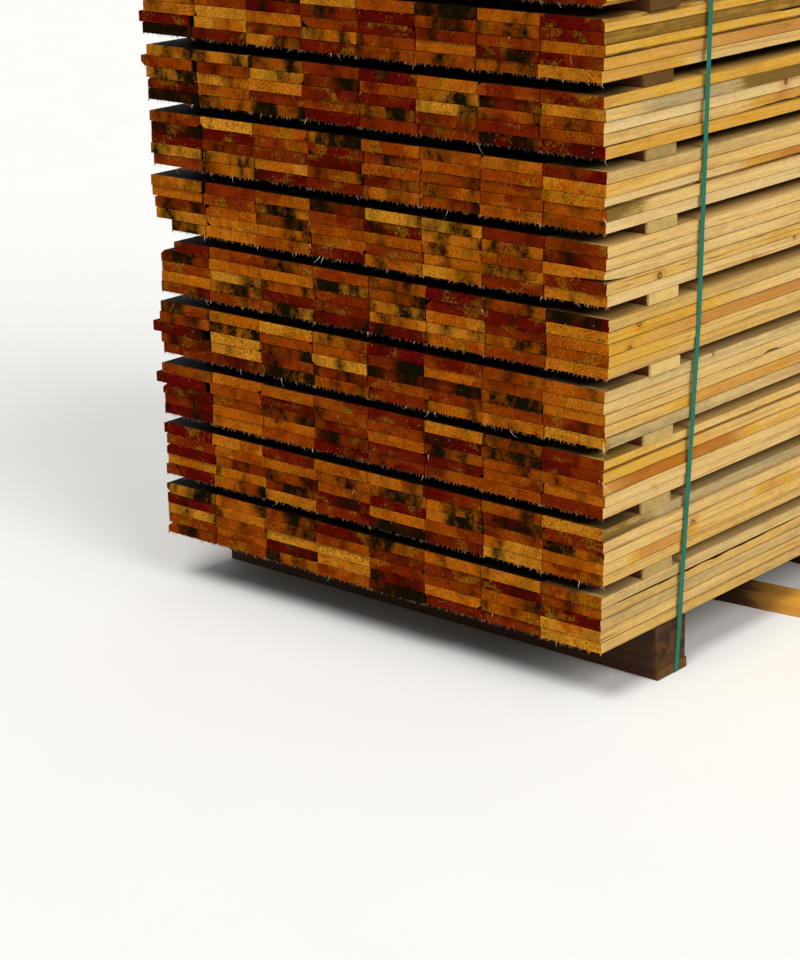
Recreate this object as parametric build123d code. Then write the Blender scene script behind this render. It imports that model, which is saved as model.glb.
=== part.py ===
from build123d import *
import math
import os
import random

# Boards: sawn softwood, square cut, laid flat and side by side
board_length = 1200.0
board_width = 143.0
board_thickness = 22.0
narrow_board_width = 98.0
boards_across = 8
courses_per_tier = 5
tier_count = 10

# Clearances: between stacked faces and between neighbours in one course
seat_gap = 0.3
side_gap = 1.0

# Play of single boards and courses from sawing and stacking
width_play = 0.6
end_play = 3.0
near_edge_play = 3.0
far_edge_play = 5.0
stacking_seed = 22143

# Wane: the bark edge that is left along a corner of some boards
wane_share = 0.22
wane_width = 9.0
wane_depth = 7.0
wane_play = 0.6

# Stickers: boards laid across between the tiers
sticker_width = 95.0
sticker_thickness = 22.0
sticker_inset = 172.0
sticker_play = 8.0

# Bearers: boards and blocks that hold the stack off the ground
bearer_width = 98.0
bearer_inset = 225.0
bearer_board_thickness = 22.0
bearer_board_offset = 6.0
block_height = 68.0
block_length = 145.0
block_count = 3
middle_board_length = 1200.0
middle_board_reach = 62.0
middle_bearer_offset = 30.0
middle_bearer_angle = 6.2
middle_block_setback = 150.0

# Straps: flat plastic band, pulled tight round the stack and a bearer
strap_width = 13.5
strap_thickness = 0.8
strap_foot_inset = 244.0
strap_head_inset = 325.0
rear_strap_head_inset = 262.0
strap_groove_width = 19.0
weld_length = 60.0

# Sideways offset of each tier, from the ground up
tier_offset = (3.0, 1.0, 0.0, -3.0, -9.0, -3.0, 1.0, 5.0, 8.0, 4.0)
# Boards that stand out of the far side, by tier and course from the ground up
far_board_stands_out = {
    (2, 3): 15.0,
    (3, 2): 21.0,
    (5, 3): 9.0,
    (5, 4): 11.0,
    (6, 1): 8.0,
    (7, 3): 18.0,
    (8, 1): 14.0,
}
# Courses that end in a narrow board on the far side
narrow_ended_courses = ((4, 4), (5, 0))

course_pitch = board_thickness + seat_gap
tier_pitch = courses_per_tier * course_pitch + sticker_thickness + seat_gap
bearer_height = 2 * bearer_board_thickness + block_height + 3 * seat_gap
stack_width = boards_across * board_width + (boards_across - 1) * side_gap
stack_top = bearer_height + tier_count * tier_pitch - sticker_thickness - 2 * seat_gap
strap_groove_depth = strap_thickness + seat_gap


def own_draws(*place):
    """Random draws that belong to one place in the stack."""
    number = stacking_seed
    for step in place:
        number = number * 101 + step
    return random.Random(number)


def across_plane(x, y, z):
    """The plane across the length of the boards, with the height as its second direction."""
    return Plane(origin=(x, y, z), x_dir=(0, 1, 0), z_dir=(1, 0, 0))


def board_section(width, draws):
    """Corners of a board's section, about the middle of its lower face."""
    half = width / 2
    corners = [(-half, 0), (half, 0), (half, board_thickness), (-half, board_thickness)]
    if draws.random() > wane_share:
        return corners
    size = draws.uniform(1 - wane_play, 1 + wane_play)
    chosen = draws.randrange(len(corners))
    y, z = corners[chosen]
    on_face = (y - math.copysign(wane_width * size, y), z)
    on_edge = (y, abs(z - wane_depth * size))
    # The bark edge runs from face to edge at two corners, and from edge to face at the others
    bark_edge = [on_face, on_edge] if chosen % 2 else [on_edge, on_face]
    return corners[:chosen] + bark_edge + corners[chosen + 1:]


def course_boards(tier, course):
    """Middle, width and endways slide of each board of one course, from the near side."""
    draws = own_draws(tier, course)
    offset = tier_offset[tier % len(tier_offset)]
    near_edge = offset - stack_width / 2 + draws.uniform(-near_edge_play, near_edge_play)
    pitch = board_width + side_gap + draws.uniform(0, far_edge_play) / boards_across
    boards = []
    for slot in range(boards_across):
        draws = own_draws(tier, course, slot)
        full_width = board_width
        push = 0.0
        if slot == boards_across - 1:
            full_width = narrow_board_width if (tier, course) in narrow_ended_courses else board_width
            push = far_board_stands_out.get((tier, course), 0.0)
        middle = near_edge + slot * pitch + full_width / 2 + push
        width = full_width - draws.uniform(0, width_play)
        slide = draws.uniform(-end_play, end_play)
        boards.append((middle, width, slide))
    return boards


def course_height(tier, course):
    return bearer_height + tier * tier_pitch + course * course_pitch


def tier_boards(tier):
    """Every board of one tier."""
    boards = []
    for course in range(courses_per_tier):
        for slot, (middle, width, slide) in enumerate(course_boards(tier, course)):
            section = Polygon(*board_section(width, own_draws(tier, course, slot, 1)), align=None)
            near_end = across_plane(slide - board_length / 2, middle, course_height(tier, course))
            boards.append(extrude(near_end * section, amount=board_length))
    return boards


def gap_stickers(gap):
    """The two stickers that hold one tier off the tier below it."""
    pieces = []
    for number, end in enumerate((-1, 1)):
        draws = own_draws(tier_count, gap, number)
        x = end * (board_length / 2 - sticker_inset) + draws.uniform(-sticker_play, sticker_play)
        y = tier_offset[gap % len(tier_offset)]
        z = course_height(gap, 0) - seat_gap - sticker_thickness
        pieces.append(Pos(x, y, z) * cross_board(sticker_width, stack_width, sticker_thickness))
    return pieces


def cross_board(width, length, thickness):
    """A board that lies across the stack, about the middle of its lower face."""
    return Box(width, length, thickness, align=(Align.CENTER, Align.CENTER, Align.MIN))


def block_row(start, end):
    """Blocks spread evenly along a bearer between two places."""
    first = start + block_length / 2
    step = (end - start - block_length) / (block_count - 1)
    return [Pos(0, first + n * step, 0) * cross_board(bearer_width, block_length, block_height)
            for n in range(block_count)]


def end_bearer(end):
    """Two boards with blocks on them. The strap lies in a groove under the lower board."""
    x = end * (board_length / 2 - bearer_inset)
    groove_x = end * (board_length / 2 - strap_foot_inset)
    lower_x = x - end * bearer_board_offset
    board = cross_board(bearer_width, stack_width, bearer_board_thickness)
    lower = Pos(lower_x, 0, 0) * board
    lower -= Pos(groove_x, 0, 0) * cross_board(strap_groove_width, stack_width, strap_groove_depth)
    upper = Pos(x, 0, bearer_board_thickness + seat_gap) * board
    block_seat = 2 * (bearer_board_thickness + seat_gap)
    blocks = [Pos(x, 0, block_seat) * block for block in block_row(-stack_width / 2, stack_width / 2)]
    return [lower, upper], blocks


def middle_bearer():
    """A long board on the ground, blocks and a top board, laid askew under the stack."""
    middle_y = (middle_board_length - stack_width) / 2 - middle_board_reach
    place = Location((middle_bearer_offset, middle_y, 0), (0, 0, middle_bearer_angle))
    start = middle_block_setback - stack_width / 2 - middle_y
    end = middle_board_length / 2
    block_seat = bearer_board_thickness + seat_gap
    top_seat = block_seat + block_height + seat_gap
    lower = place * cross_board(bearer_width, middle_board_length, bearer_board_thickness)
    top = place * Pos(0, (start + end) / 2, top_seat) * cross_board(
        bearer_width, end - start, bearer_board_thickness)
    blocks = [place * Pos(0, 0, block_seat) * block for block in block_row(start, end)]
    return [lower, top], blocks


def taut_line(points):
    """The points that a tight line touches, out of points given as (height, reach)."""
    line = []
    for height, reach in sorted(points):
        while len(line) > 1:
            (h0, r0), (h1, r1) = line[-2:]
            if (r1 - r0) * (height - h0) > (reach - r0) * (h1 - h0):
                break
            line.pop()
        line.append((height, reach))
    return line


def strap_touches(side):
    """Heights and reaches that the strap lies on: side is -1 on the near side, 1 on the far side."""
    points = [(strap_groove_depth, stack_width / 2), (bearer_height, stack_width / 2)]
    for tier in range(tier_count):
        for course in range(courses_per_tier):
            boards = course_boards(tier, course)
            middle, width, slide = boards[0] if side < 0 else boards[-1]
            reach = side * middle + width / 2
            foot = course_height(tier, course)
            points += [(foot, reach), (foot + board_thickness, reach)]
    return taut_line(points)


def strap(end, foot_inset, head_inset):
    """One closed band: two slanting side runs, a top run with its weld, and a run on the ground."""
    foot_x = end * (board_length / 2 - foot_inset)
    head_x = end * (board_length / 2 - head_inset)
    slant = (head_x - foot_x) / (stack_top - strap_groove_depth)
    outer = seat_gap + strap_thickness
    band = []
    corners = []
    for side in (-1, 1):
        touches = strap_touches(side)
        for (low, low_reach), (high, high_reach) in zip(touches, touches[1:]):
            x = foot_x + slant * (low - strap_groove_depth)
            y = side * (low_reach + seat_gap + strap_thickness / 2)
            section = Pos(x, y, low) * Rectangle(strap_width, strap_thickness)
            way = Vector(slant * (high - low), side * (high_reach - low_reach), high - low)
            band.append(extrude(section, amount=way.length, dir=way))
        for x, (height, reach), up in ((foot_x, touches[0], -1), (head_x, touches[-1], 1)):
            ring = Circle(outer) - Circle(seat_gap)
            quarter = ring & (Pos(side * outer / 2, up * outer / 2) * Rectangle(outer, outer))
            near_edge = across_plane(x - strap_width / 2, side * reach, height)
            band.append(extrude(near_edge * quarter, amount=strap_width))
            corners.append((x, side * reach, height, up))
    for up in (-1, 1):
        (x, y0, height, _), (_, y1, _, _) = [corner for corner in corners if corner[3] == up]
        z = height + up * (seat_gap + strap_thickness / 2)
        band.append(Pos(x, (y0 + y1) / 2, z) * Box(strap_width, abs(y1 - y0), strap_thickness))
    weld_z = stack_top + seat_gap + 1.5 * strap_thickness
    band.append(Pos(head_x, -stack_width / 4, weld_z) * Box(strap_width, weld_length, strap_thickness))
    return band[0].fuse(*band[1:]).clean()


def write_node(name, solids):
    """One STEP file for each named sub-part."""
    node = Compound(children=list(solids))
    node.label = name
    export_step(node, f"parts/{name}.step")


os.makedirs("parts", exist_ok=True)
for tier in range(tier_count):
    write_node(f"tier_{tier + 1:02d}_boards", tier_boards(tier))
for gap in range(1, tier_count):
    write_node(f"stickers_{gap:02d}", gap_stickers(gap))
for name, (boards, blocks) in (
    ("front", end_bearer(-1)),
    ("middle", middle_bearer()),
    ("rear", end_bearer(1)),
):
    write_node(f"bearer_{name}_boards", boards)
    write_node(f"bearer_{name}_blocks", blocks)
write_node("strap_front", [strap(-1, strap_foot_inset, strap_head_inset)])
write_node("strap_rear", [strap(1, strap_foot_inset, rear_strap_head_inset)])
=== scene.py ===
import math
import random
from collections import namedtuple

import bmesh
import bpy
from bpy.props import FloatProperty, FloatVectorProperty, IntProperty, PointerProperty
from bpy.types import Operator, Panel, PropertyGroup
from mathutils import Matrix, Vector, noise


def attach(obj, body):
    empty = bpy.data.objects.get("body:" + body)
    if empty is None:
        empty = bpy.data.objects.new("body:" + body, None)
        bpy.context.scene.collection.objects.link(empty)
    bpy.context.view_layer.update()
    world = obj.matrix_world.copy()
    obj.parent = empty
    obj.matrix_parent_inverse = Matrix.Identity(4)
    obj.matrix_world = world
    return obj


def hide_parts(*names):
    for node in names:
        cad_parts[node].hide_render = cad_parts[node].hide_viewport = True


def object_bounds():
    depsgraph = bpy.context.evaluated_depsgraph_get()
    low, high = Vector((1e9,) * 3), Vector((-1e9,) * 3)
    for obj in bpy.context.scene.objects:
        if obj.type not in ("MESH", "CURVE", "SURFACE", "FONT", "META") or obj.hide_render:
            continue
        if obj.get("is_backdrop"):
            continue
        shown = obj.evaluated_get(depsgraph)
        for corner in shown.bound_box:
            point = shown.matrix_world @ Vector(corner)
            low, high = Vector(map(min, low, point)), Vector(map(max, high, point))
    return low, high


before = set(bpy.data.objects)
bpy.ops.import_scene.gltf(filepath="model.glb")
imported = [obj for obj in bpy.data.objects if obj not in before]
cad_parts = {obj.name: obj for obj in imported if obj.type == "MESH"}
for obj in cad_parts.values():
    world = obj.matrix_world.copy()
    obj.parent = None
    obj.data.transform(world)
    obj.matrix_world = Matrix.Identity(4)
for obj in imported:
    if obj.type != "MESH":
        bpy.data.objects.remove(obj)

bl_info = {
    "name": "Stack of Lumber",
    "version": (1, 0, 0),
    "blender": (4, 5, 0),
    "location": "View3D > Sidebar > Lumber",
    "description": "Dresses a strapped stack of sawn boards with edges, grain, stains and splinters",
    "category": "Object",
}

UP = Vector((0, 0, 1))
# Corners closer than this are one corner
SAME_PLACE = 0.00002
# Faces are one flat face below the first angle, and form an edge above the second one
FLAT_ANGLE = math.radians(0.5)
SHARP_ANGLE = math.radians(20)
# A face turned this far towards a direction counts as facing it
FACING = 0.75
# A timber with its top this far under the top of the stack has other timber above it
COVERED_DEPTH = 0.01

# Looks of single boards at the near side, by tier and course from the ground up. Each look is a row of
# places along the board, with the tone from pale to heart colour there, and the grey and the olive stain
# where there is one.
GOLDEN = ((0, 0.46),)
CREAM = ((0, 0.2, 0.15),)
DULL = ((0, 0.2, 0.55, 0.1),)
NEAR_LOOKS = {
    **dict.fromkeys(((9, 0), (8, 2), (8, 4), (7, 4)), GOLDEN),
    **dict.fromkeys(((5, 2), (5, 3), (5, 4), (3, 2), (3, 3), (2, 0)), CREAM),
    **dict.fromkeys(((3, 4), (0, 4)), DULL),
    (8, 0): ((0, 0.65), (0.2, 0.55), (0.3, 0.15, 0.1)),
    (8, 1): ((0.1, 0.65), (0.3, 0.8, 0.2)),
    (8, 3): ((0, 0.6, 0.3, 1.0),),
    (7, 0): ((0, 0.6, 0.3), (0.2, 0.6), (0.5, 0.55)),
    (7, 1): ((0.45, 0.3), (0.57, 0.85), (0.68, 0.4)),
    (7, 3): ((0.06, 0.2, 0.1), (0.17, 0.15, 1.0, 0.1), (0.4, 0.2, 0.9, 0.4), (0.48, 0.7, 0.6, 1.4)),
    (6, 1): ((0, 0.25, 0.3, 1.3), (0.08, 0.25, 0.2, 0.9), (0.22, 0.2, 0.1)),
    (6, 2): ((0.4, 0.15), (0.6, 0.85)),
    (6, 3): ((0.1, 0.42), (0.3, 0.25, 0.1)),
    (6, 4): ((0, 0.3, 0.55),),
    (5, 1): ((0, 0.3, 0.3, 0.1),),
    (4, 0): ((0, 0.42, 0.35),),
    (4, 1): ((0.1, 0.48, 0.2), (0.35, 0.25)),
    (4, 2): ((0.1, 0.5), (0.35, 0.85, 0.3)),
    (4, 3): ((0.3, 0.48), (0.5, 0.2)),
    (4, 4): ((0, 0.4, 0.6),),
    (3, 0): ((0, 0.2, 0.9, 0.7), (0.25, 0.2, 0.8, 0.4), (0.5, 0.2, 0.4, 0.1)),
    (3, 1): ((0.2, 0.32, 0.1), (0.35, 0.75), (0.55, 0.7, 0.1), (0.64, 0.4, 0.2)),
    (2, 2): ((0, 0.75), (0.1, 1.05, 0, 0.2), (0.42, 1.0, 0, 0.2), (0.52, 0.4)),
    (2, 3): ((0.3, 0.46), (0.45, 0.28)),
    (2, 4): ((0, 0.45), (0.35, 0.25)),
    (1, 0): ((0, 0.4, 0.4, 0.3),),
    (1, 1): ((0.08, 0.3), (0.12, 0.8), (0.26, 0.8), (0.32, 0.35)),
    (1, 2): ((0.5, 0.25, 0.1), (0.57, 0.8), (0.66, 0.3)),
    (1, 3): ((0, 0.25, 0.3, 0.1),),
    (1, 4): ((0, 0.3, 0.3, 1.0), (0.12, 0.3, 0.6, 0.8), (0.2, 0.2, 0.9, 0.3)),
    (0, 0): ((0, 0.35, 0.5, 0.3),),
    (0, 1): ((0, 0.3, 0.4, 0.1),),
    (0, 2): ((0, 0.3, 0.7, 0.3),),
    (0, 3): ((0, 0.4, 0.5, 0.2),),
}

# Tones of the stickers' cut ends from pale to dark, from the lowest gap up; the dark tones at the top gaps
# are painted shade
STICKER_TONES_AND_SHADE = (0.45, 0.4, 0.3, 0.0, 0.0, 0.3, 0.55, 1.0, 1.1)
# How dusty the tops of the near boards are at the gaps, and how much painted shade they get there, from the
# ground up
NEAR_TOPS = (0.3, 0.6, 0.3, 0.55, 0.35, 0.12, 0.12, 0.8, 0.8, 0.0)
# Near boards with splinters at their corner, by tier and course
SPLINTERED = ((6, 1), (3, 0), (2, 3))

# Bark edges left on single boards at the near side: start, finish and depth of the missing edge, above
# zero where the upper edge is missing and below zero where the lower one is
NEAR_FLAWS = {
    (0, 3): (0.03, 0.72, 0.008),
    (3, 3): (0.535, 0.60, -0.010),
    (5, 2): (-0.06, 0.05, -0.012),
    (7, 1): (0.45, 0.95, -0.006),
    (8, 2): (0.55, 0.98, 0.007),
}


def screen_colour(red, green, blue):
    """A linear colour from the values that a screen shows, from 0 to 255."""
    return tuple(((value / 255 + 0.055) / 1.055) ** 2.4 for value in (red, green, blue))


def colour_setting(name, description, red, green, blue):
    return FloatVectorProperty(name=name, description=description, subtype="COLOR", size=3, min=0, max=1,
                               default=screen_colour(red, green, blue))


def length_setting(name, description, default):
    return FloatProperty(name=name, description=description, default=default, min=0, precision=5,
                         unit="LENGTH", subtype="DISTANCE")


def share_setting(name, description, default):
    return FloatProperty(name=name, description=description, default=default, min=0, max=1,
                         subtype="FACTOR")


def angle_setting(name, description, degrees):
    return FloatProperty(name=name, description=description, subtype="ANGLE", default=math.radians(degrees))


def light_setting(name, description, default):
    return FloatProperty(name=name, description=description, default=default, min=0)


class SawnEdges(PropertyGroup):
    """How the saw and the weather left the edges of the timbers."""

    edge_round: length_setting("Edge rounding", "Width of the worn long edges", 0.0008)
    end_round: length_setting("End rounding", "Width of the worn edge round a cut end", 0.0005)
    length_step: length_setting("Length step", "Spacing of the sections along a timber", 0.09)
    near_step: length_setting("Near step", "Spacing of the sections along the boards at the near side", 0.024)
    end_step: length_setting("End step", "Spacing of the points along the edge of a cut end", 0.014)
    end_zone: length_setting("End zone", "Length of the ragged stretch at each end", 0.006)
    waviness: length_setting("Waviness", "How far a long edge wanders into the timber", 0.0008)
    bark_waviness: length_setting("Bark waviness", "How far a bark edge wanders into the timber", 0.003)
    tear_depth: length_setting("Tear depth", "Depth of the chips along the edge of a cut end", 0.0028)


class TornFibres(PropertyGroup):
    """Wood fibres that the saw left hanging from the cut ends."""

    low_count: IntProperty(name="Low fibres", description="Fibres under a bottom board's end", default=46)
    other_count: IntProperty(name="Other fibres", description="Fibres under any other board's end", default=4)
    fibre_length: length_setting("Fibre length", "Length of a common fibre", 0.0065)
    fibre_width: length_setting("Fibre width", "Width of a fibre where it leaves the wood", 0.0013)
    curl_length: length_setting("Curl length", "Length of a curled splinter", 0.018)
    curl_share: share_setting("Curl share", "Share of the fibres that are curled splinters", 0.03)
    corner_share: share_setting("Corner share", "Share of the fibres that hang at a corner", 0.25)
    splinter_count: IntProperty(name="Splinters", description="Splinters at a torn corner", default=6)


class BoardColours(PropertyGroup):
    """Colours of the stacked boards."""

    side_pale: colour_setting("Pale side", "Palest sawn side", 218, 190, 132)
    side_cream: colour_setting("Cream side", "Common sawn side", 209, 173, 104)
    side_golden: colour_setting("Golden side", "Golden sawn side", 203, 153, 50)
    side_tan: colour_setting("Tan side", "Brownish sawn side", 196, 144, 70)
    side_heart: colour_setting("Heart side", "Heartwood on a sawn side", 166, 100, 28)
    end_ochre: colour_setting("Ochre end", "Palest cut end", 158, 102, 24)
    end_orange: colour_setting("Orange end", "Bright cut end", 148, 78, 9)
    end_brown: colour_setting("Brown end", "Common cut end", 122, 52, 2)
    end_red: colour_setting("Red end", "Reddish cut end", 98, 30, 1)
    end_maroon: colour_setting("Maroon end", "Darkest heartwood on a cut end", 74, 8, 1)
    end_dark: colour_setting("Dark end", "Blue stain on a cut end", 20, 14, 0)
    end_olive: colour_setting("Olive end", "Mouldy stain on a cut end", 112, 84, 10)
    grey_stain: colour_setting("Grey stain", "Weathered grey on a side", 160, 140, 98)
    olive_stain: colour_setting("Olive stain", "Mouldy stain on a side", 106, 78, 26)
    weathered: colour_setting("Weathered", "Dusty top faces", 146, 118, 76)
    # Painted shade: a near-black colour for the faces between the tiers at the cut ends and deeper in from
    # the near side
    painted_gap_shade: colour_setting("Damp", "Damp wood between the tiers at the cut ends", 12, 8, 3)
    # Soiling on the worn edges, which also paints the shade in the joints between the boards
    joint_dirt_and_shade: colour_setting("Joint dirt", "Dirt along the worn edges", 96, 58, 20)
    bark: colour_setting("Bark edge", "Bark edges, cracks and knot outlines", 60, 34, 12)
    fibre: colour_setting("Fibre", "Torn fibres", 226, 204, 158)


class StickerColours(PropertyGroup):
    """Colours of the boards laid between the tiers."""

    side_pale: colour_setting("Pale side", "Palest sawn side", 150, 108, 62)
    side_dark: colour_setting("Dark side", "Darkest sawn side", 92, 48, 22)
    end_pale: colour_setting("Pale end", "Palest cut end", 206, 174, 104)
    end_dark: colour_setting("Dark end", "Darkest cut end", 86, 58, 18)
    stain: colour_setting("Stain", "Stained patches", 78, 62, 36)


class BearerColours(PropertyGroup):
    """Colours of the timbers under the stack."""

    side_pale: colour_setting("Pale side", "Palest sawn side", 214, 150, 52)
    side_dark: colour_setting("Dark side", "Darkest sawn side", 58, 32, 10)
    end_pale: colour_setting("Pale end", "Palest cut end", 128, 88, 40)
    end_dark: colour_setting("Dark end", "Darkest cut end", 64, 36, 11)
    # Real damp patches, and on the newer bearer board the painted shade under the stack
    stain: colour_setting("Stain", "Damp patches", 34, 20, 9)


class StrapFinish(PropertyGroup):
    """Finish of the plastic straps."""

    colour: colour_setting("Colour", "Colour of the band", 1, 98, 76)
    worn_colour: colour_setting("Worn colour", "Colour where the band is scuffed", 28, 120, 98)
    emboss_pitch: length_setting("Emboss pitch", "Spacing of the pressed diamonds", 0.0028)


class StageSettings(PropertyGroup):
    """The floor, the light and the camera."""

    floor_radius: length_setting("Floor radius", "Radius of the pale floor", 60.0)
    floor_colour: colour_setting("Floor colour", "Colour of the pale floor", 226, 225, 222)
    camera_place: FloatVectorProperty(name="Camera place", description="Where the camera stands", size=3,
                                      unit="LENGTH", subtype="TRANSLATION",
                                      default=(-4.1664, -3.1583, 1.8875))
    camera_heading: angle_setting("Camera heading", "Turn of the view from +X towards +Y", 40.793)
    camera_dip: angle_setting("Camera dip", "How far the camera looks down", 17.969)
    camera_roll: angle_setting("Camera roll", "Turn of the view about its own axis", 1.0043)
    focal_length: FloatProperty(name="Focal length", description="Focal length on a 36 mm sensor",
                                unit="CAMERA", default=94.354)
    key_strength: light_setting("Key light", "Strength of the broad light on the near side", 2.0)
    end_strength: light_setting("End light", "Strength of the light on the cut ends", 2.0)
    top_strength: light_setting("Top light", "Strength of the light from above", 0.4)
    sky_strength: light_setting("Sky light", "Strength of the light from all round", 0.25)


# A sawn timber: the corners of its first end, the way to its other end, its place in the stack,
# -1 or 1 where its near or far side is the outside of the stack, and whether other timber lies above it
Timber = namedtuple("Timber", "outline run tier course slot open_side covered")


def merged_copy(node):
    """A bmesh of a packed node with its doubled corners merged and its flat faces whole."""
    bm = bmesh.new()
    bm.from_mesh(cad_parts[node].data)
    bmesh.ops.remove_doubles(bm, verts=bm.verts[:], dist=SAME_PLACE)
    bmesh.ops.dissolve_limit(bm, angle_limit=FLAT_ANGLE, verts=bm.verts[:], edges=bm.edges[:])
    return bm


def separate_solids(bm):
    """The faces of each solid in a bmesh."""
    left = set(bm.faces)
    while left:
        found = set()
        near = {left.pop()}
        while near:
            found |= near
            near = {other for face in near for edge in face.edges for other in edge.link_faces} - found
        left -= found
        yield found


def read_timbers(node, tier=0):
    """Every timber of a packed node, with its course and slot counted from the near side of the ground."""
    bm = merged_copy(node)
    found = []
    for faces in separate_solids(bm):
        longest = max({edge for face in faces for edge in face.edges}, key=lambda edge: edge.calc_length())
        run = longest.verts[1].co - longest.verts[0].co
        if run.x + run.y < 0:
            run.negate()
        first_end = min(faces, key=lambda face: face.calc_center_median().dot(run))
        outline = [vert.co.copy() for vert in first_end.verts]
        found.append((round(min(corner.z for corner in outline), 3), outline, run))
    bm.free()
    levels = sorted({low for low, outline, run in found})
    timbers = []
    for course, level in enumerate(levels):
        row = [(outline, run) for low, outline, run in found if low == level]
        row.sort(key=lambda item: (min(corner.y for corner in item[0]), min(corner.x for corner in item[0])))
        for slot, (outline, run) in enumerate(row):
            open_side = -1 if slot == 0 else 1 if slot == len(row) - 1 else 0
            covered = max(corner.z for corner in outline) < CAD_BOX[1].z - COVERED_DEPTH
            timbers.append(Timber(outline, run, tier, course, slot, open_side, covered))
    return timbers


class Draws(random.Random):
    """Random numbers that belong to one timber."""

    def about(self, middle, play):
        return middle + self.uniform(-play, play)


def own_draws(kind, timber):
    return Draws(f"{kind} {timber.tier} {timber.course} {timber.slot}")


def cut_frame(timber):
    """Middle of the first end, with the directions along, across and up the section."""
    middle = sum(timber.outline, Vector()) / len(timber.outline)
    along = timber.run.normalized()
    return middle, along, UP.cross(along)


def prism(timber):
    """A bmesh with the timber's plain sawn shape and the layers that its finish reads."""
    bm = bmesh.new()
    bm.verts.layers.float_vector.new("log")
    bm.verts.layers.float_color.new("side_look")
    bm.verts.layers.float_color.new("end_look")
    bm.faces.layers.float_color.new("cut")
    first_end = bm.faces.new([bm.verts.new(corner) for corner in timber.outline])
    made = bmesh.ops.extrude_face_region(bm, geom=[first_end])
    moved = [item for item in made["geom"] if isinstance(item, bmesh.types.BMVert)]
    bmesh.ops.translate(bm, verts=moved, vec=timber.run)
    bmesh.ops.recalc_face_normals(bm, faces=bm.faces[:])
    return bm


def is_along(edge, along):
    return abs((edge.verts[1].co - edge.verts[0].co).normalized().dot(along)) > FACING


# A face turned this far both sideways and upwards is slanting
SLANTING = 0.2
# How strongly a bark edge is marked at the near side, where it is paler than inside the stack
NEAR_BARK = 0.7


def mark_bark(bm, timber):
    """Marks the slanting faces that the bark edge left."""
    across = cut_frame(timber)[2]
    cut = bm.faces.layers.float_color["cut"]
    strength = NEAR_BARK if timber.open_side < 0 else 1
    for face in bm.faces:
        slanting = abs(face.normal.z) > SLANTING and abs(face.normal.dot(across)) > SLANTING
        face[cut] = (strength if slanting else 0, 0, 0, 0)


def add_sections(bm, timber, sizes):
    """Divides a timber along its length, with a short stretch at each end and points round each end."""
    middle, along = cut_frame(timber)[:2]
    long_edges = [edge for edge in bm.edges if is_along(edge, along)]
    step = sizes.near_step if timber.open_side < 0 else sizes.length_step
    cuts = max(1, round(timber.run.length / step) - 1)
    bmesh.ops.subdivide_edges(bm, edges=long_edges, cuts=cuts, use_grid_fill=True)
    for place in (sizes.end_zone, timber.run.length - sizes.end_zone):
        bmesh.ops.bisect_plane(bm, geom=bm.verts[:] + bm.edges[:] + bm.faces[:], dist=SAME_PLACE,
                               plane_co=middle + along * place, plane_no=along)
    for face in [face for face in bm.faces if abs(face.normal.dot(along)) > FACING]:
        for edge in list(face.edges):
            cuts = round(edge.calc_length() / sizes.end_step) - 1
            if cuts > 0:
                bmesh.ops.subdivide_edges(bm, edges=[edge], cuts=cuts)


def round_edges(bm, along, sizes):
    """Wears the long edges and the edges of the cut ends."""
    wear = {"offset_type": "OFFSET", "profile": 0.5, "affect": "EDGES", "material": -1, "clamp_overlap": True}
    sharp = [edge for edge in bm.edges if edge.calc_face_angle(0) > SHARP_ANGLE]
    long_edges = [edge for edge in sharp if is_along(edge, along)]
    bmesh.ops.bevel(bm, geom=long_edges, offset=sizes.edge_round, segments=2, **wear)
    ends = [face for face in bm.faces if abs(face.normal.dot(along)) > FACING]
    end_edges = {edge for face in ends for edge in face.edges if edge.calc_face_angle(0) > SHARP_ANGLE}
    bmesh.ops.bevel(bm, geom=list(end_edges), offset=sizes.end_round, segments=1, **wear)


def bumps(*place):
    """Smooth bumps between -1 and 1."""
    return noise.noise(Vector(place))


# A missing edge: its bumps in a metre, how bluntly it starts and ends, and as shares of its depth the
# middle and height of the bumps and how far it leans in
FLAW_BUMPS, FLAW_BLUNTNESS = 22, 0.6
FLAW_MIDDLE, FLAW_HEIGHT, FLAW_LEAN = 0.6, 0.5, 0.35


def remove_edge(bm, timber, start, finish, depth):
    """Takes away part of a board's upper or lower near edge, down to the bark."""
    middle, along, across = cut_frame(timber)
    cut = bm.faces.layers.float_color["cut"]
    missing = set()
    for vert in bm.verts:
        offset = vert.co - middle
        reach = offset.dot(along)
        share = (reach - start) / (finish - start)
        if 0 < share < 1 and offset.dot(across) < 0 and offset.z * depth > 0:
            uneven = FLAW_MIDDLE + FLAW_HEIGHT * bumps(reach * FLAW_BUMPS, depth * 900, 0)
            here = abs(depth) * math.sin(math.pi * share) ** FLAW_BLUNTNESS * uneven
            vert.co += across * here * FLAW_LEAN
            vert.co.z -= math.copysign(here, depth)
            missing.add(vert)
    bm.normal_update()
    for face in bm.faces:
        if not missing.isdisjoint(face.verts) and abs(face.normal.z) > 0.6:
            face[cut] = (1, 0, 0, 0)


# Bumps in a metre: fine ones, slow ones sideways and up, and those of a bark edge
FINE_BUMPS, SIDE_BUMPS, HIGH_BUMPS, BARK_BUMPS = 34, 5, 7, 25
# Height of the fine bumps as a share of the slow ones, and of a sunk edge as a share of a wandering one
FINE_SHARE, SINK_SHARE = 0.35, 0.5


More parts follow.
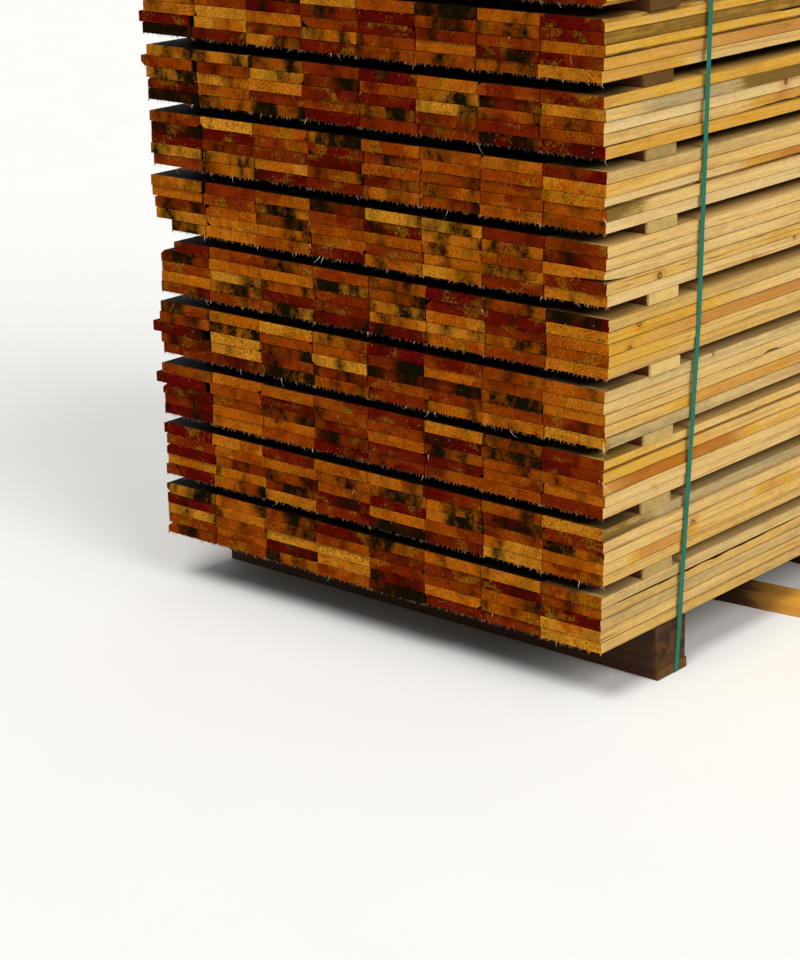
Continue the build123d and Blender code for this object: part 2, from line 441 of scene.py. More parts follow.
def weather_edges(bm, timber, sizes, draws):
    """Lets the long edges wander, roughens the bark edge and chips the edges of the cut ends."""
    middle, along, across = cut_frame(timber)
    cut = bm.faces.layers.float_color["cut"]
    bark = {vert for face in bm.faces if face[cut][0] > 0.5 for vert in face.verts}
    seed = draws.uniform(0, 1000)
    length = timber.run.length
    for vert in bm.verts:
        offset = vert.co - middle
        reach = offset.dot(along)
        far = offset.dot(across) > 0
        upper = offset.z > 0
        fine = FINE_SHARE * bumps(reach * FINE_BUMPS, seed + 9 * far, 5 * upper)
        wander = 0.5 + 0.5 * bumps(reach * SIDE_BUMPS, seed + 3 * far, 7 * upper) + fine
        sink = 0.5 + 0.5 * bumps(reach * HIGH_BUMPS, seed + 5 * far, 11 + 7 * upper) + fine
        room = sizes.bark_waviness * max(0, bumps(reach * BARK_BUMPS, seed, 3)) if vert in bark else 0
        vert.co -= across * math.copysign(max(0, sizes.waviness * wander) + room, offset.dot(across))
        vert.co.z -= math.copysign(max(0, sizes.waviness * SINK_SHARE * sink) + room, offset.z)
        near_start = reach < sizes.end_zone / 2
        near_finish = reach > length - sizes.end_zone / 2
        at_face = reach < sizes.end_round / 3 or reach > length - sizes.end_round / 3
        if (near_start or near_finish) and not at_face:
            chip = sizes.tear_depth * draws.random() ** 4
            vert.co += along * (chip if near_start else -chip)


# Width of a fibre at the end of each step, as a share of its width at the start
TAPER = 0.6


def add_fibre(bm, root, way, bend, width, steps):
    """One tapering fibre that bends along its length. Gives its faces."""
    turn = way.to_track_quat("Z", "X").to_matrix().to_4x4()
    ring = bmesh.ops.create_circle(bm, cap_ends=True, segments=3, radius=width / 2,
                                   matrix=Matrix.Translation(root) @ turn)
    tip = ring["verts"][0].link_faces[0]
    faces = {tip}
    for step in range(steps):
        share, next_share = step / steps, (step + 1) / steps
        made = bmesh.ops.extrude_face_region(bm, geom=[tip])["geom"]
        verts = [item for item in made if isinstance(item, bmesh.types.BMVert)]
        tip = next(item for item in made if isinstance(item, bmesh.types.BMFace))
        move = way / steps + bend * (next_share ** 2 - share ** 2)
        bmesh.ops.translate(bm, verts=verts, vec=move)
        middle = tip.calc_center_median()
        bmesh.ops.scale(bm, verts=verts, vec=(TAPER, TAPER, TAPER), space=Matrix.Translation(-middle))
        faces |= {face for vert in verts for face in vert.link_faces}
    return {face for face in faces if face.is_valid}


def keep_inside(bm, faces):
    """Keeps fibres inside the box of the whole stack, and turns their faces outwards."""
    lowest, highest = CAD_BOX
    for vert in {vert for face in faces for vert in face.verts}:
        vert.co.x = min(max(vert.co.x, lowest.x), highest.x)
        vert.co.y = min(max(vert.co.y, lowest.y), highest.y)
    bmesh.ops.recalc_face_normals(bm, faces=list(faces))


def add_fibres(bm, timber, fibres, draws, count):
    """Torn fibres under both ends of a board. Gives the faces of the short ones and of the curled ones."""
    middle, along, across = cut_frame(timber)
    low = min(corner.z for corner in timber.outline)
    feet = [corner for corner in timber.outline if corner.z < low + 0.001]
    left = min((corner - middle).dot(across) for corner in feet)
    right = max((corner - middle).dot(across) for corner in feet)
    fringe = set()
    curls = set()
    for out, origin in ((-along, middle), (along, middle + timber.run)):
        for number in range(count):
            sideways = draws.uniform(left, right)
            if draws.random() < fibres.corner_share:
                sideways = draws.choice((left, right)) * draws.uniform(0.94, 0.995)
            root = origin + across * sideways - out * draws.uniform(0.0006, 0.0016)
            root.z = low + draws.uniform(0.0004, 0.0014)
            curled = draws.random() < fibres.curl_share
            size = (fibres.curl_length if curled else fibres.fibre_length) * draws.uniform(0.4, 1.2)
            lean = out * draws.uniform(0.0, 0.5) + across * draws.about(0, 0.5) - UP
            bend = across * draws.about(0, 0.7) + out * draws.about(0, 0.3) + UP * draws.uniform(0, 0.6)
            bend *= size if curled else size * 0.4
            width = fibres.fibre_width * draws.uniform(0.6, 1.2)
            faces = add_fibre(bm, root, lean.normalized() * size, bend, width, 4 if curled else 2)
            (curls if curled else fringe).update(faces)
    keep_inside(bm, fringe | curls)
    return fringe, curls


def add_splinters(bm, timber, fibres, draws):
    """Pale splinters that hang off a board's near corner at its first end. Gives their faces."""
    middle, along, across = cut_frame(timber)
    near = min((corner - middle).dot(across) for corner in timber.outline)
    faces = set()
    for number in range(fibres.splinter_count):
        root = middle + across * (near + draws.uniform(0.001, 0.01)) + UP * draws.uniform(-0.01, 0.006)
        size = fibres.curl_length * draws.uniform(0.6, 1.4)
        way = across * draws.about(-0.2, 0.4) - along * draws.uniform(0.0, 0.3) - UP
        bend = (across * draws.about(0, 0.9) + UP * draws.uniform(0, 0.5)) * size
        width = fibres.fibre_width * 1.5
        faces |= add_fibre(bm, root + along * 0.001, way.normalized() * size, bend, width, 4)
    keep_inside(bm, faces)
    return faces


def log_points(bm, timber, draws):
    """Writes each point's place in the log that the timber was sawn from, with the pith at y = z = 0."""
    middle, along, across = cut_frame(timber)
    layer = bm.verts.layers.float_vector["log"]
    pith_side = draws.about(0, 0.07)
    pith_high = draws.choice((-1, 1)) * draws.uniform(0.005, 0.09)
    start = draws.uniform(0, 20)
    for vert in bm.verts:
        offset = vert.co - middle
        vert[layer] = (start + offset.dot(along), offset.dot(across) - pith_side, offset.z - pith_high)


def look_at(look, reach):
    """Tone, grey and olive at a distance along a board."""
    before = [row for row in look if row[0] <= reach] or [look[0]]
    after = [row for row in look if row[0] > reach] or [look[-1]]
    (start, *first), (finish, *second) = before[-1], after[0]
    share = (reach - start) / (finish - start) if finish > start else 0
    return [low + (high - low) * share for low, high in zip(first, second)]


# Strength of the soiling and painted joint shade on a worn edge, and how far upwards such an edge is turned
EDGE_DIRT_AND_SHADE, LEAST_TURN, MOST_TURN = 0.7, 0.25, 0.97
# A face turned this far sideways, and one turned this far along, belong to the side and to the end
TO_SIDE, TO_END = 0.3, 0.6


def write_looks(bm, timber, sizes, looks, fringe, curls):
    """Writes the looks of a timber at its points, and at its faces the soiled edges with their painted joint
    shade, the torn fibres, and the dusty tops with the painted shade between the tiers.
    """
    middle, along, across = cut_frame(timber)
    side_look, luck, end_look = looks
    rows = [(*row, 0.0, 0.0)[:4] for row in side_look]
    covered_dust_and_shade = NEAR_TOPS[timber.tier] if timber.open_side < 0 else 1
    side_layer = bm.verts.layers.float_color["side_look"]
    end_layer = bm.verts.layers.float_color["end_look"]
    cut = bm.faces.layers.float_color["cut"]
    bm.normal_update()
    for vert in bm.verts:
        vert[side_layer] = (*look_at(rows, (vert.co - middle).dot(along)), luck)
        vert[end_layer] = end_look
    for face in bm.faces:
        reach = (face.calc_center_median() - middle).dot(along)
        in_zone = reach < sizes.end_zone or reach > timber.run.length - sizes.end_zone
        sideways = face.normal.dot(across)
        outside = abs(sideways) > TO_SIDE and timber.open_side * sideways > 0
        end = abs(face.normal.dot(along)) > TO_END or (in_zone and not outside)
        curl = face in curls
        face.material_index = 1 if face in fringe or (end and not curl) else 0
        # Worn edges take soiling that also paints the shade in the joints between the boards
        worn_edge = LEAST_TURN < abs(face.normal.z) < MOST_TURN
        edge_dirt_and_shade = max(face[cut][0], EDGE_DIRT_AND_SHADE if worn_edge else 0)
        torn = 1 if curl or face in fringe else 0
        # The third channel holds the dusty tops and the share of painted shade between the tiers
        dust_and_gap_shade = 0 if outside or end or not timber.covered else covered_dust_and_shade
        face[cut] = (edge_dirt_and_shade, torn, dust_and_gap_shade, 0)


def board_looks(timber, draws):
    """Look of a board's sides, its luck, and tone, heart, dark and ring step of its ends."""
    tone = draws.about(draws.choice((0.06, 0.1, 0.14, 0.18, 0.22, 0.26, 0.3, 0.4)), 0.03)
    grey = draws.random() ** 3 * 0.6
    olive = draws.random() ** 4 * (0.7 if timber.covered else 0.1)
    side_look = ((0.0, tone, grey, olive),)
    if timber.slot == 0:
        side_look = NEAR_LOOKS.get((timber.tier, timber.course), ((0.0, tone, grey * 0.5),))
    luck = draws.random()
    end_look = (draws.triangular(-0.25, 1.3, 0.45), draws.uniform(0.0, 0.07),
                draws.random() ** 2 * (0.5 if timber.slot == 0 else 1), draws.uniform(0.003, 0.0075))
    return side_look, luck, end_look


def dress_timber(timber, sizes, kind, looks, fibres=None, count=0):
    """A bmesh of one finished timber."""
    draws = own_draws(kind, timber)
    place = (timber.tier, timber.course) if kind == "board" and timber.slot == 0 else None
    bm = prism(timber)
    mark_bark(bm, timber)
    add_sections(bm, timber, sizes)
    round_edges(bm, timber.run.normalized(), sizes)
    weather_edges(bm, timber, sizes, draws)
    if place in NEAR_FLAWS:
        remove_edge(bm, timber, *NEAR_FLAWS[place])
    fringe, curls = add_fibres(bm, timber, fibres, draws, count) if count else (set(), set())
    if place in SPLINTERED:
        curls |= add_splinters(bm, timber, fibres, draws)
    log_points(bm, timber, draws)
    write_looks(bm, timber, sizes, looks(timber, draws), fringe, curls)
    return bm


def mesh_of(name, bm, materials):
    """A mesh of a bmesh, which is freed."""
    mesh = bpy.data.meshes.new(name)
    for material in materials:
        mesh.materials.append(material)
    bm.to_mesh(mesh)
    bm.free()
    return mesh


def joined(parts):
    """One bmesh of several."""
    whole = bmesh.new()
    for part in parts:
        mesh = mesh_of("part", part, (None, None))
        whole.from_mesh(mesh)
        bpy.data.meshes.remove(mesh)
    return whole


def add_to_scene(name, data):
    made = bpy.data.objects.new(name, data)
    bpy.context.scene.collection.objects.link(made)
    return made


def add_piece(name, bm, materials, node):
    """A finished piece at the origin that stands for a packed node."""
    piece = add_to_scene(name, mesh_of(name, bm, materials))
    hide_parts(node)
    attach(piece, "root")


def sum_node(operation, reflected=False, kind="Math"):
    """A method of Wire that adds a node for one sum."""

    def method(self, *others):
        inputs = (*others, self) if reflected else (self, *others)
        return self.finish.node(kind, {"operation": operation}, dict(enumerate(inputs)))

    return method


class Wire:
    """A node's output, which takes part in arithmetic as a number does."""

    def __init__(self, finish, socket):
        self.finish = finish
        self.socket = socket

    __add__, __radd__ = sum_node("ADD"), sum_node("ADD", True)
    __sub__, __rsub__ = sum_node("SUBTRACT"), sum_node("SUBTRACT", True)
    __mul__, __rmul__ = sum_node("MULTIPLY"), sum_node("MULTIPLY", True)
    __truediv__ = sum_node("DIVIDE")
    __abs__ = sum_node("ABSOLUTE")
    fraction = sum_node("FRACT")
    plus = sum_node("ADD", kind="VectorMath")
    minus = sum_node("SUBTRACT", kind="VectorMath")
    times = sum_node("MULTIPLY", kind="VectorMath")

    def other(self, output):
        """Another output of the same node."""
        return Wire(self.finish, self.socket.node.outputs[output])

    def parts(self):
        made = self.finish.node("SeparateColor", {}, {0: self})
        return [made.other(number) for number in range(3)]

    def size(self):
        return self.finish.node("VectorMath", {"operation": "LENGTH"}, {0: self}, "Value")

    def clouds(self, repeats, detail, output="Fac"):
        """Soft random patches, with their repeats in a metre along, across and up."""
        inputs = {"Vector": self.times(repeats), "Scale": 1.0, "Detail": detail, "Roughness": 0.55}
        return self.finish.node("TexNoise", {}, inputs, output)

    def patterns(self, table):
        """Clouds for each row of a table, in its order."""
        return [self.clouds(*row) for row in table.values()]

    def cells(self, repeats, randomness, output, distance="EUCLIDEAN"):
        """Cells about scattered points, as the nearest point or the way to it."""
        inputs = {"Vector": self, "Scale": repeats, "Randomness": randomness}
        return self.finish.node("TexVoronoi", {"distance": distance}, inputs, output)

    def ease(self, low, high):
        """0 below low and 1 above high, with a smooth way between."""
        return self.finish.node("MapRange", {"interpolation_type": "SMOOTHSTEP"}, {0: self, 1: low, 2: high})

    def ramp(self, *stops):
        return self.finish.node("ValToRGB", {"stops": stops}, {0: self})

    def mix(self, share, colour):
        """This colour with a share of another one in it."""
        return self.finish.node("Mix", {"data_type": "RGBA"}, {0: share, 6: self, 7: (*colour, 1)}, 2)

    def shade(self, brightness):
        """This colour made lighter or darker by a factor that varies over the surface."""
        return self.finish.node("VectorMath", {"operation": "SCALE"}, {0: self, "Scale": brightness})


class Finish:
    """A material or a surrounding being made out of nodes."""

    def __init__(self, name, group="materials"):
        self.made = getattr(bpy.data, group).new(name)
        self.made.use_nodes = True
        self.tree = self.made.node_tree
        self.tree.nodes.clear()

    def node(self, kind, settings, inputs, output=0):
        """Adds a node, its settings first and then the values or links of its sockets."""
        made = self.tree.nodes.new("ShaderNode" + kind)
        for setting, value in settings.items():
            if setting == "stops":
                self.set_stops(made.color_ramp, value)
            else:
                setattr(made, setting, value)
        for socket, value in inputs.items():
            if isinstance(value, Wire):
                self.tree.links.new(value.socket, made.inputs[socket])
            else:
                made.inputs[socket].default_value = value
        return Wire(self, made.outputs[output]) if made.outputs else None

    def set_stops(self, ramp, stops):
        while len(ramp.elements) < len(stops):
            ramp.elements.new(1.0)
        for element, (place, colour) in zip(ramp.elements, stops):
            element.position = place
            element.color = (*colour, 1)

    def attribute(self, name, output="Color"):
        return self.node("Attribute", {"attribute_name": name}, {}, output)

    def place(self):
        """The point's place on the piece."""
        return self.node("TexCoord", {}, {}, "Object")

    def surface(self, colour, roughness, height, bump_depth, gloss):
        normal = self.node("Bump", {}, {"Height": height, "Strength": 0.6, "Distance": bump_depth})
        shader = self.node("BsdfPrincipled", {}, {"Base Color": colour, "Roughness": roughness,
                                                  "Normal": normal, "Specular IOR Level": gloss})
        self.node("OutputMaterial", {}, {0: shader})
        return self.made


# Patterns in the wood: their repeats in a metre along, across and up the log, and their detail
SIDE_PATTERNS = {
    "threads": ((14, 600, 600), 2),
    "grain": ((5, 160, 160), 2),
    "slow": ((1.5, 9, 9), 2),
    "streak": ((2.6, 110, 110), 4),
    "cracks": ((1.1, 42, 42), 2),
    "soil": ((9, 30, 30), 3),
    "grit": ((150, 320, 320), 2),
    "mottle": ((55, 150, 150), 3),
    "blotch": ((24, 70, 70), 4),
}
END_PATTERNS = {
    "ragged": ((1.0, 80, 70), 4),
    "patch": ((1.0, 22, 30), 3),
    "block": ((1.0, 15, 6), 2),
    "speckle": ((1.0, 210, 210), 4),
}
OLD_SIDE_PATTERNS = {"threads": SIDE_PATTERNS["threads"], "patch": ((3.5, 18, 18), 3)}
OLD_END_PATTERNS = {"patch": ((1, 40, 40), 3), "speckle": ((1, 320, 320), 2)}
STRAP_PATTERNS = {"scuffs": ((60, 60, 9), 3), "streaks": ((700, 700, 14), 2)}
# Knots: their number in a metre along, across and up, their smallest radius and what luck adds to it
KNOT_SPREAD = (4.5, 12.0, 12.0)
KNOT_RADIUS, KNOT_PLAY = 0.003, 0.008
# How far the growth rings sway
RING_SWAY = 0.022
# The near side's distance from the middle of the stack
NEAR_SIDE = 0.59

# What is written at a point: its place in the log, and the looks of its timber's sides and ends
PointLooks = namedtuple("PointLooks", "place tone grey olive luck end_tone heart_reach dark ring_step")


def point_looks(finish):
    """The looks that are written at a point, as wires."""
    side, end = finish.attribute("side_look"), finish.attribute("end_look")
    return PointLooks(finish.attribute("log", "Vector"), *side.parts(), side.other("Alpha"),
                      *end.parts(), end.other("Alpha"))


def growth_rings(look):
    """Distance from the pith, and the dark late wood of each year's ring, in the log's own space."""
    sway = look.place.clouds((1.6, 11, 11), 2, "Color").minus((0.5, 0.5, 0.5))
    swayed = look.place.plus(sway.times((0, RING_SWAY, RING_SWAY)))
    from_pith = swayed.times((0, 1, 1)).size()
    years = from_pith / look.ring_step + swayed.clouds((3, 60, 60), 1) * 1.2
    year_share = years.fraction()
    late_wood = year_share.ease(0.35, 0.9) * (1 - year_share.ease(0.93, 1.0))
    return from_pith, late_wood


def knots(place):
    """Outline, inside and darker surroundings of the knots."""
    cells = place.times(KNOT_SPREAD).cells(1.0, 0.9, "Position")
    apart = place.minus(cells.times(tuple(1 / repeats for repeats in KNOT_SPREAD))).size()
    size_luck, there = cells.other("Color").parts()[:2]
    size = (size_luck * KNOT_PLAY + KNOT_RADIUS) * there.ease(0.3, 0.35)
    outline = 1 - abs(apart - size).ease(0.0003, 0.0016)
    inside = 1 - apart.ease(size * 0.85, size + 0.0001)
    halo = 1 - apart.ease(size, size * 3.0 + 0.001)
    grown = size.ease(0.001, 0.003)
    return outline * grown, inside * grown, halo * grown


def board_side_finish(colours):
    """Sawn sides: fibres along the board, faint rings, knots, stains and dusty tops."""
    finish = Finish("sawn_side")
    look = point_looks(finish)
    edge_dirt_and_shade, torn, dust_and_gap_shade = finish.attribute("cut").parts()
    from_pith, late_wood = growth_rings(look)
    knot_line, knot_inside, knot_halo = knots(look.place)
    threads, grain, slow, streak, cracks, soil, grit, mottle, blotch = look.place.patterns(SIDE_PATTERNS)
    patch = look.place.plus((3.0, 7.0, 1.0)).clouds((5.0, 30, 30), 3)
    crack = (1 - abs(cracks - 0.5).ease(0.002, 0.012)) * slow.ease(0.57, 0.63)
    heart = 1 - from_pith.ease(look.heart_reach, look.heart_reach + 0.02)

    tone = look.tone + (slow - 0.5) * 0.4 + (blotch - 0.5) * 0.4 + (mottle - 0.5) * 0.2 + heart * 0.08
    side = tone.ramp((0.0, colours.side_pale), (0.25, colours.side_cream), (0.5, colours.side_golden),
                     (0.72, colours.side_tan), (1.0, colours.side_heart))
    for share in (late_wood * 0.16, patch.ease(0.56, 0.74) * 0.4, streak.ease(0.52, 0.72) * 0.55):
        side = side.mix(share, colours.side_heart)
    side = side.mix(crack * 0.6, colours.bark)
    uneven = blotch + streak * 1.2 - 0.6
    side = side.mix((look.grey + uneven).ease(0.6, 1.6) * 0.9, colours.grey_stain)
    side = side.mix((look.olive + uneven).ease(0.8, 1.6) * 0.9, colours.olive_stain)
    side = side.shade(0.07 + threads * 0.34 + grain * 0.3 + mottle * 0.42 + blotch * 0.3 + grit * 0.44)
    side = side.mix(knot_halo * 0.45, colours.side_heart)
    side = side.mix(knot_inside * 0.35, colours.bark)
    side = side.mix(knot_line * 0.8, colours.bark)

    in_stack = finish.place()
    from_middle = in_stack.times((1, 0, 0)).size()
    from_near = in_stack.times((0, 1, 0)).plus((0, NEAR_SIDE, 0)).size()
    # Painted shade: the faces between the tiers darken towards the cut ends and deeper in from the near side,
    # where the tiers above shade them; dusty tops take the weathered colour
    painted_inner_shade = dust_and_gap_shade.ease(0.0, 0.1) * from_near.ease(0.04, 0.085)
    side = side.mix(dust_and_gap_shade * (0.5 + mottle * 0.4), colours.weathered)
    side = side.mix(dust_and_gap_shade * from_middle.ease(0.44, 0.55), colours.painted_gap_shade)
    side = side.mix(painted_inner_shade * 0.85, colours.painted_gap_shade)
    # Edge soiling, partly painted joint shade, and darker bark edges
    side = side.mix(edge_dirt_and_shade * soil.ease(0.3, 0.6), colours.joint_dirt_and_shade)
    side = side.mix(edge_dirt_and_shade.ease(0.8, 0.95) * (0.5 + soil), colours.bark)
    side = side.mix(torn, colours.fibre)
    roughness = 0.6 + look.luck * 0.1 + threads * 0.14
    height = threads * 0.6 + grain * 0.5 + late_wood * 0.3 - knot_line * 0.6 - crack
    return finish.surface(side, roughness, height, bump_depth=0.0007, gloss=0.04)


def board_end_finish(colours):
    """Cut ends: dark, saturated end grain with heartwood, blocks of stain and torn flecks."""
    finish = Finish("cut_end")
    look = point_looks(finish)
    torn = finish.attribute("cut").parts()[1]
    from_pith, late_wood = growth_rings(look)
    ragged, patch, block, speckle = look.place.patterns(END_PATTERNS)
    mould = look.place.plus((5.0, 2.0, 3.0)).clouds((1.0, 18, 30), 3)
    heart = 1 - (from_pith + (ragged - 0.5) * 0.03).ease(look.heart_reach, look.heart_reach + 0.008)

    tone = look.end_tone + heart * 0.22 + (patch - 0.5) * 0.4 + (ragged - 0.5) * 0.35 + (speckle - 0.5) * 0.5
    ends = tone.ramp((0.0, colours.end_ochre), (0.25, colours.end_orange), (0.5, colours.end_brown),
                     (0.75, colours.end_red), (1.0, colours.end_maroon))
    ends = ends.mix((mould + (speckle - 0.5) * 0.4).ease(0.53, 0.75) * 0.6, colours.end_olive)
    ring_share = patch.ease(0.45, 0.66) * 0.52 + 0.03
    ends = ends.shade(1.14 - late_wood * ring_share).shade(speckle * 3.4 + ragged * 1.2 - 1.2)
    stain = (block + look.dark * 0.26 + (ragged - 0.5) * 0.35 + (speckle - 0.5) * 0.4).ease(0.56, 0.84)
    ends = ends.mix(stain, colours.end_dark)
    flecks = look.place.cells(90.0, 1.0, "Distance")
    fleck = (1 - flecks.ease(0.05, 0.12)) * flecks.other("Color").parts()[0].ease(0.84, 0.88)
    ends = ends.mix(fleck * 0.45, colours.fibre).mix(torn * 0.16, colours.fibre)
    roughness = 0.66 - stain * 0.15 + speckle * 0.2
    height = speckle * 0.9 + late_wood * 0.3 + ragged * 0.5
    return finish.surface(ends, roughness, height, bump_depth=0.0008, gloss=0.0)


def old_stain(patch, olive):
    """Share of the stain on older timber; on the newer bearer board it also paints the shade under the stack.
    """
    return (patch + olive * 0.3).ease(0.66, 0.8) * 0.7


def old_side_finish(name, colours):
    """Sides of older sawn timber, for stickers and bearers."""
    finish = Finish(name)
    look = point_looks(finish)
    late_wood = growth_rings(look)[1]
    knot_line = knots(look.place)[0]
    threads, patch = look.place.patterns(OLD_SIDE_PATTERNS)
    tone = look.tone + (patch - 0.5) * 0.9 + late_wood * 0.2
    side = tone.ramp((0.0, colours.side_pale), (1.0, colours.side_dark)).shade(0.74 + threads * 0.5)
    side = side.mix(knot_line * 0.8, colours.stain).mix(old_stain(patch, look.olive), colours.stain)
    height = threads * 0.6 + late_wood * 0.3 - knot_line * 0.5
    return finish.surface(side, 0.66 + threads * 0.16, height, bump_depth=0.0008, gloss=0.25)


def old_end_finish(name, colours):
    """Cut ends of older sawn timber, for stickers and bearers."""
    finish = Finish(name)
    look = point_looks(finish)
    late_wood = growth_rings(look)[1]
    patch, speckle = look.place.patterns(OLD_END_PATTERNS)
    tone = look.end_tone + (patch - 0.5) * 0.6 + late_wood * 0.12
    ends = tone.ramp((0.0, colours.end_pale), (1.0, colours.end_dark)).shade(0.6 + speckle * 0.8)
    ends = ends.mix(old_stain(patch, look.olive), colours.stain)
    height = speckle * 0.8 + late_wood * 0.4
    return finish.surface(ends, 0.7 + speckle * 0.15, height, bump_depth=0.0008, gloss=0.15)


# The one bearer board that is longer than this is newer than the rest
LONG_BOARD = 1.18


def plain_looks(timber, draws):
    """Look of an older timber's sides, its luck, and tone, heart, dark and ring step of its ends."""
    # The sides take the darkest tone: the colour of older wood, with painted shade for timbers that stand in
    # shade under and between the tiers
    side_look = ((0.0, draws.uniform(1.1, 1.5), 0.0, draws.random()),)
    end_look = (draws.random(), 0.02, draws.random(), draws.uniform(0.003, 0.006))
    return side_look, draws.random(), end_look


def sticker_looks(timber, draws):
    """A sticker has no olive stain on its sides, and its ends are toned by its gap, with painted shade on the
    ends at the top gaps.
    """
    side_look, luck, end_look = plain_looks(timber, draws)
    return [row[:3] for row in side_look], luck, (STICKER_TONES_AND_SHADE[timber.tier], *end_look[1:])


def bearer_looks(timber, draws):
    """A newer board is pale at its near end, and painted shade darkens it where it runs in under the stack.
    """
    side_look, luck, end_look = plain_looks(timber, draws)
    if timber.run.length > LONG_BOARD:
        side_look = ((0.05, 0.0), (0.1, 0.3, 0.0, 0.2), (0.2, 0.9, 0.0, 1.2))
    return side_look, luck, end_look


def strap_finish(settings):
    """Embossed plastic band, a little scuffed."""
    finish = Finish("strap_band")
    scuffs, streaks = finish.place().patterns(STRAP_PATTERNS)
    diamonds = finish.place().cells(1 / settings.emboss_pitch, 0.0, "Distance", "MANHATTAN")
    colour = (scuffs.ease(0.55, 0.8) * 0.4).ramp((0.0, settings.colour), (1.0, settings.worn_colour))
    colour = colour.shade(0.82 + streaks * 0.3 + (1 - diamonds) * 0.1)
    height = diamonds * 0.6 + streaks * 0.3
    return finish.surface(colour, 0.4 + scuffs * 0.25, height, bump_depth=0.0003, gloss=0.2)


def floor_finish(colour):
    """Pale, even floor with a hardly visible grain."""
    finish = Finish("pale_floor")
    grain = finish.place().clouds((3, 3, 3), 3)
    dark, light = (tuple(value * brightness for value in colour) for brightness in (0.985, 1.015))
    return finish.surface(grain.ramp((0.0, dark), (1.0, light)), 0.9, grain, bump_depth=0.0002, gloss=0.1)


def nodes_named(start):
    return sorted(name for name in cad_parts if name.startswith(start))


def dress_old_timbers(settings, kind, colours, looks):
    """Makes the stickers or the bearers."""
    materials = (old_side_finish(f"{kind}_side", colours), old_end_finish(f"{kind}_end", colours))
    for number, node in enumerate(nodes_named(kind)):
        parts = [dress_timber(timber, settings.lumber_edges, kind, looks)
                 for timber in read_timbers(node, number)]
        add_piece(f"{node}_dressed", joined(parts), materials, node)


class LUMBER_OT_tiers(Operator):
    """Makes the boards of all tiers"""

    bl_idname = "lumber.tiers"
    bl_label = "Tiers of boards"

    def execute(self, context):
        settings = context.scene
        fibres = settings.lumber_fibres
        materials = (board_side_finish(settings.lumber_boards), board_end_finish(settings.lumber_boards))
        for tier, node in enumerate(nodes_named("tier")):
            parts = []
            for timber in read_timbers(node, tier):
                count = fibres.other_count if timber.course else fibres.low_count
                parts.append(dress_timber(timber, settings.lumber_edges, "board", board_looks, fibres, count))
            add_piece(f"{node[:7]}_lumber", joined(parts), materials, node)
        return {"FINISHED"}


class LUMBER_OT_stickers(Operator):
    """Makes the boards laid across between the tiers"""

    bl_idname = "lumber.stickers"
    bl_label = "Stickers"

    def execute(self, context):
        dress_old_timbers(context.scene, "sticker", context.scene.lumber_stickers, sticker_looks)
        return {"FINISHED"}


class LUMBER_OT_bearers(Operator):
    """Makes the boards and blocks that the stack stands on"""

    bl_idname = "lumber.bearers"
    bl_label = "Bearers"

    def execute(self, context):
        dress_old_timbers(context.scene, "bearer", context.scene.lumber_bearers, bearer_looks)
        return {"FINISHED"}


class LUMBER_OT_straps(Operator):
    """Gives the straps their plastic finish"""

    bl_idname = "lumber.straps"
    bl_label = "Straps"

    def execute(self, context):
        material = strap_finish(context.scene.lumber_strap)
        for name in nodes_named("strap"):
            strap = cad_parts[name]
            strap.data.materials.clear()
            strap.data.materials.append(material)
        return {"FINISHED"}


class LUMBER_OT_stage(Operator):
    """Makes the floor, the light and the camera"""

    bl_idname = "lumber.stage"
    bl_label = "Stage"

    def execute(self, context):
        settings = context.scene.lumber_stage
        add_floor(settings)
        light_stage(context.scene, settings)
        place_camera(context.scene, settings)
        return {"FINISHED"}


# How far the floor lies under the stack, so that their faces don't meet
FLOOR_GAP = 0.0005
# The lights: the setting of each one's strength, the way that it comes from and its spread in degrees
SUNS = (
    ("key", (-0.15, -0.80, 0.58), 40),
    ("end", (-0.50, -0.12, 0.86), 25),
    ("top", (0.0, 0.0, 1.0), 90),
)
SENSOR_WIDTH = 36


def add_floor(settings):
    bm = bmesh.new()
    bmesh.ops.create_circle(bm, cap_ends=True, segments=64, radius=settings.floor_radius)
    bmesh.ops.translate(bm, verts=bm.verts[:], vec=(0, 0, -FLOOR_GAP))
    floor = add_to_scene("floor", mesh_of("floor", bm, [floor_finish(settings.floor_colour)]))
    floor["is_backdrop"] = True


def light_stage(scene, settings):
    """A surrounding that is white to the camera and in reflections, and the lights."""
    world = Finish("studio", "worlds")
    seen = world.node("LightPath", {}, {}, "Is Camera Ray")
    shown = world.node("Math", {"operation": "MAXIMUM"}, {0: seen, 1: seen.other("Is Glossy Ray")})
    strength = world.node("MapRange", {}, {"Value": shown, "To Min": settings.sky_strength})
    background = world.node("Background", {}, {"Color": (1, 1, 1, 1), "Strength": strength})
    world.node("OutputWorld", {}, {0: background})
    scene.world = world.made
    for name, from_way, spread in SUNS:
        lamp = bpy.data.lights.new(f"{name}_light", "SUN")
        lamp.energy = getattr(settings, f"{name}_strength")
        lamp.angle = math.radians(spread)
        light = add_to_scene(f"{name}_light", lamp)
        light.rotation_mode = "QUATERNION"
        light.rotation_quaternion = Vector(from_way).to_track_quat("Z", "Y")


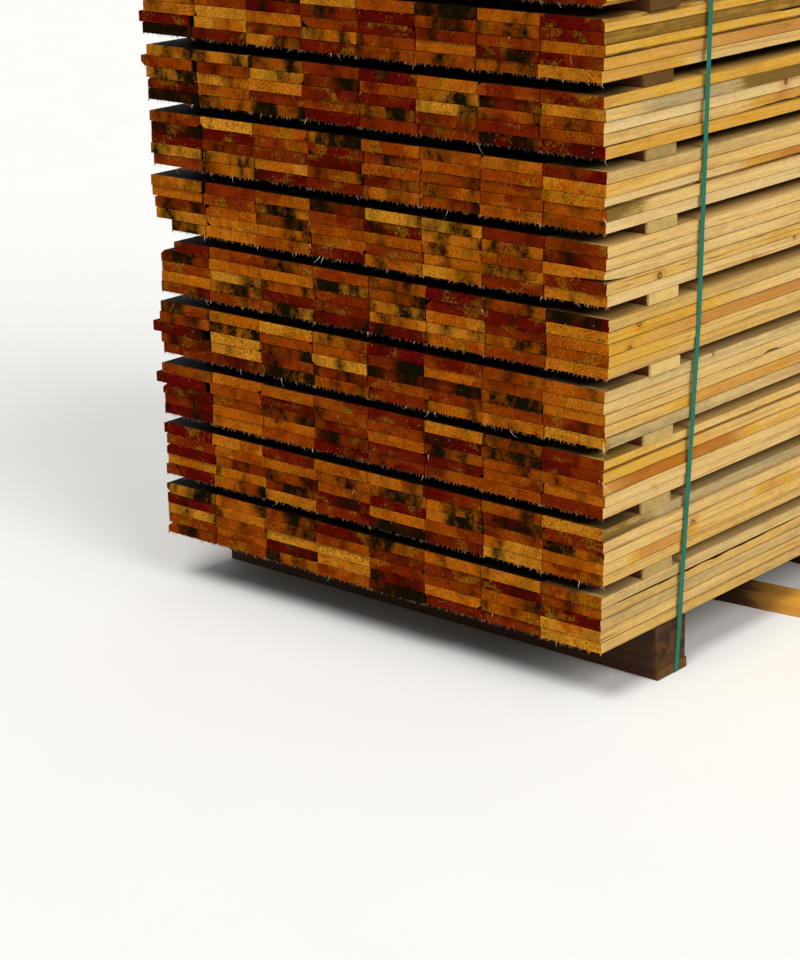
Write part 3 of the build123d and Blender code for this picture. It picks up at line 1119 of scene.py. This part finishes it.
def place_camera(scene, settings):
    """The camera stands and looks as the one that took the reference."""
    heading, dip = settings.camera_heading, settings.camera_dip
    ahead = Vector((math.cos(dip) * math.cos(heading), math.cos(dip) * math.sin(heading), -math.sin(dip)))
    right = ahead.cross(UP).normalized()
    up = right.cross(ahead)
    turn = Matrix((right, up, -ahead)).transposed() @ Matrix.Rotation(-settings.camera_roll, 3, "Z")
    data = bpy.data.cameras.new("camera")
    data.lens = settings.focal_length
    data.sensor_width = SENSOR_WIDTH
    camera = add_to_scene("camera", data)
    camera.matrix_world = Matrix.Translation(settings.camera_place) @ turn.to_4x4()
    scene.camera = camera
    scene.view_settings.view_transform = "Standard"


class LUMBER_PT_panel(Panel):
    """Lists the pieces of the stack and their settings"""

    bl_label = "Lumber"
    bl_idname = "LUMBER_PT_panel"
    bl_space_type = "VIEW_3D"
    bl_region_type = "UI"
    bl_category = "Lumber"

    def draw(self, context):
        for operator in OPERATORS:
            self.layout.operator(operator.bl_idname)
        for name, group in SETTINGS.items():
            box = self.layout.box()
            box.label(text=group.__doc__)
            for key in group.__annotations__:
                box.prop(getattr(context.scene, name), key)


SETTINGS = {
    "lumber_edges": SawnEdges,
    "lumber_fibres": TornFibres,
    "lumber_boards": BoardColours,
    "lumber_stickers": StickerColours,
    "lumber_bearers": BearerColours,
    "lumber_strap": StrapFinish,
    "lumber_stage": StageSettings,
}
OPERATORS = (LUMBER_OT_tiers, LUMBER_OT_stickers, LUMBER_OT_bearers, LUMBER_OT_straps, LUMBER_OT_stage)
CAD_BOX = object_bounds()


def register():
    for item in (*SETTINGS.values(), *OPERATORS, LUMBER_PT_panel):
        bpy.utils.register_class(item)
    for name, group in SETTINGS.items():
        setattr(bpy.types.Scene, name, PointerProperty(type=group))


def unregister():
    for name in SETTINGS:
        delattr(bpy.types.Scene, name)
    for item in (LUMBER_PT_panel, *reversed(OPERATORS), *reversed(SETTINGS.values())):
        bpy.utils.unregister_class(item)


def main():
    register()
    bpy.ops.lumber.tiers()
    bpy.ops.lumber.stickers()
    bpy.ops.lumber.bearers()
    bpy.ops.lumber.straps()
    bpy.ops.lumber.stage()
    boxes = {"cad": CAD_BOX, "visual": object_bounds()}
    {name: [list(corner) for corner in box] for name, box in boxes.items()}


if __name__ == "__main__":
    main()
